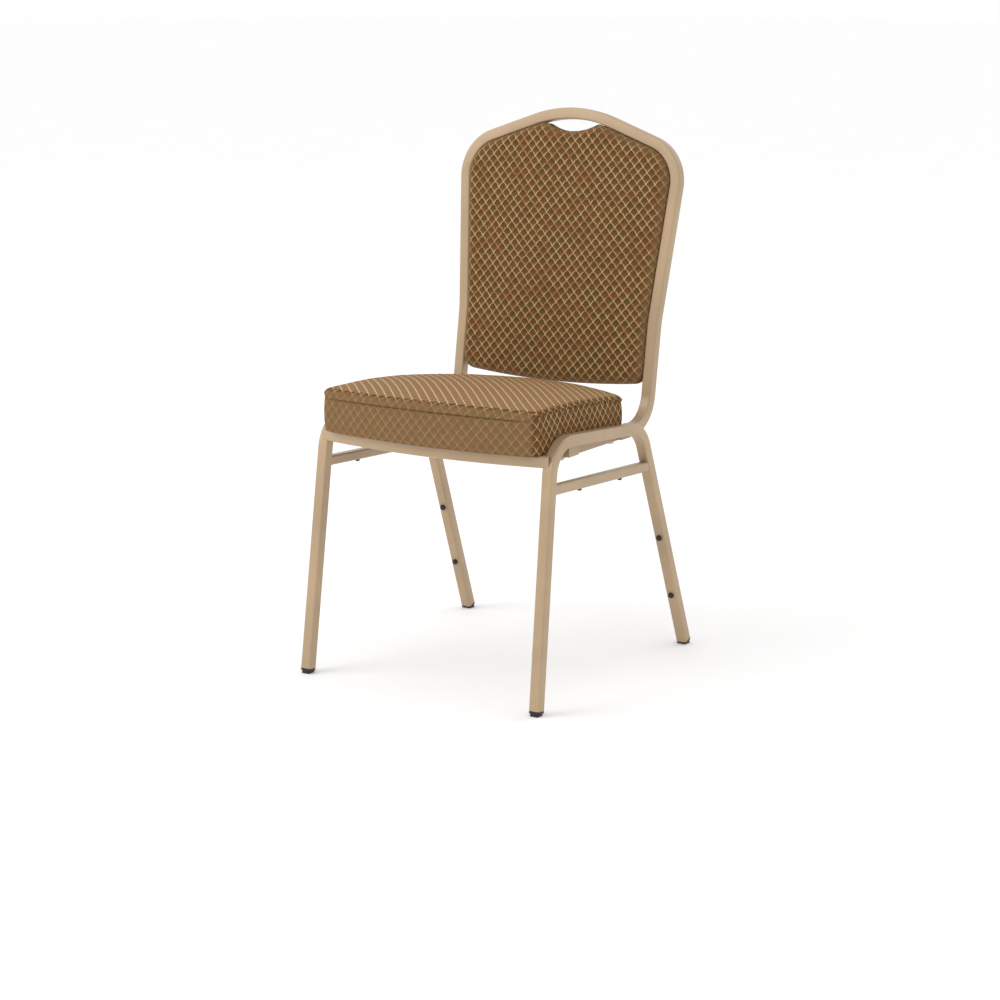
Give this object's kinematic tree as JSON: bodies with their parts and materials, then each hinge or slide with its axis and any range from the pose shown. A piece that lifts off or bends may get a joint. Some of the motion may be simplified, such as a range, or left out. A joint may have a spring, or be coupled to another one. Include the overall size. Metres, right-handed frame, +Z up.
{
  "type": "stacking chair",
  "caption": "Upholstered stacking banquet chair with a bent square-tube frame, a shaped back hoop with a hand-hold, and raked rear legs.",
  "frame": {"origin": "on the floor, midway between the left and right feet and midway between the front and rear feet", "axes": "+Z up, -Y the way a sitter faces, +X towards the side on the right when the chair is seen from its front"},
  "size_m": [0.4678, 0.5145, 0.9199],
  "materials": {
    "frame_paint": "satin beige-gold powder coat",
    "foot_plastic": "moulded black",
    "bumper_rubber": "moulded black",
    "plywood": "bare plywood",
    "hardboard": "bare hardboard",
    "foam": "open-cell seat foam",
    "cover_cloth": "woven scale pattern in brown, olive and tan",
    "dust_cloth": "black felted cloth",
    "zinc_steel": "zinc plated",
    "clip_plastic": "moulded dark grey"
  },
  "bodies": {
    "root": {"side_frame_left": "frame_paint", "side_frame_right": "frame_paint", "back_hoop": "frame_paint", "front_rail": "frame_paint", "rear_cross_rail": "frame_paint", "spacer_blocks_left": "frame_paint", "spacer_blocks_right": "frame_paint", "side_bar_left": "frame_paint", "side_bar_right": "frame_paint", "back_tabs_left": "frame_paint", "back_tabs_right": "frame_paint", "foot_front_left": "foot_plastic", "foot_front_right": "foot_plastic", "foot_rear_left": "foot_plastic", "foot_rear_right": "foot_plastic", "leg_bumpers_left": "bumper_rubber", "leg_bumpers_right": "bumper_rubber", "bar_bumpers_left": "bumper_rubber", "bar_bumpers_right": "bumper_rubber", "seat_board": "plywood", "seat_foam": "foam", "seat_cover_top": "cover_cloth", "seat_cover_band": "cover_cloth", "seat_dust_cloth": "dust_cloth", "seat_t_nuts": "zinc_steel", "seat_screws": "zinc_steel", "seat_staples": "zinc_steel", "back_board": "plywood", "back_foam": "foam", "back_cover_front": "cover_cloth", "back_rear_panel": "hardboard", "back_cover_rear": "cover_cloth", "back_t_nuts": "zinc_steel", "back_screws": "zinc_steel", "rear_panel_clips": "clip_plastic"}
  },
  "joints": []
}
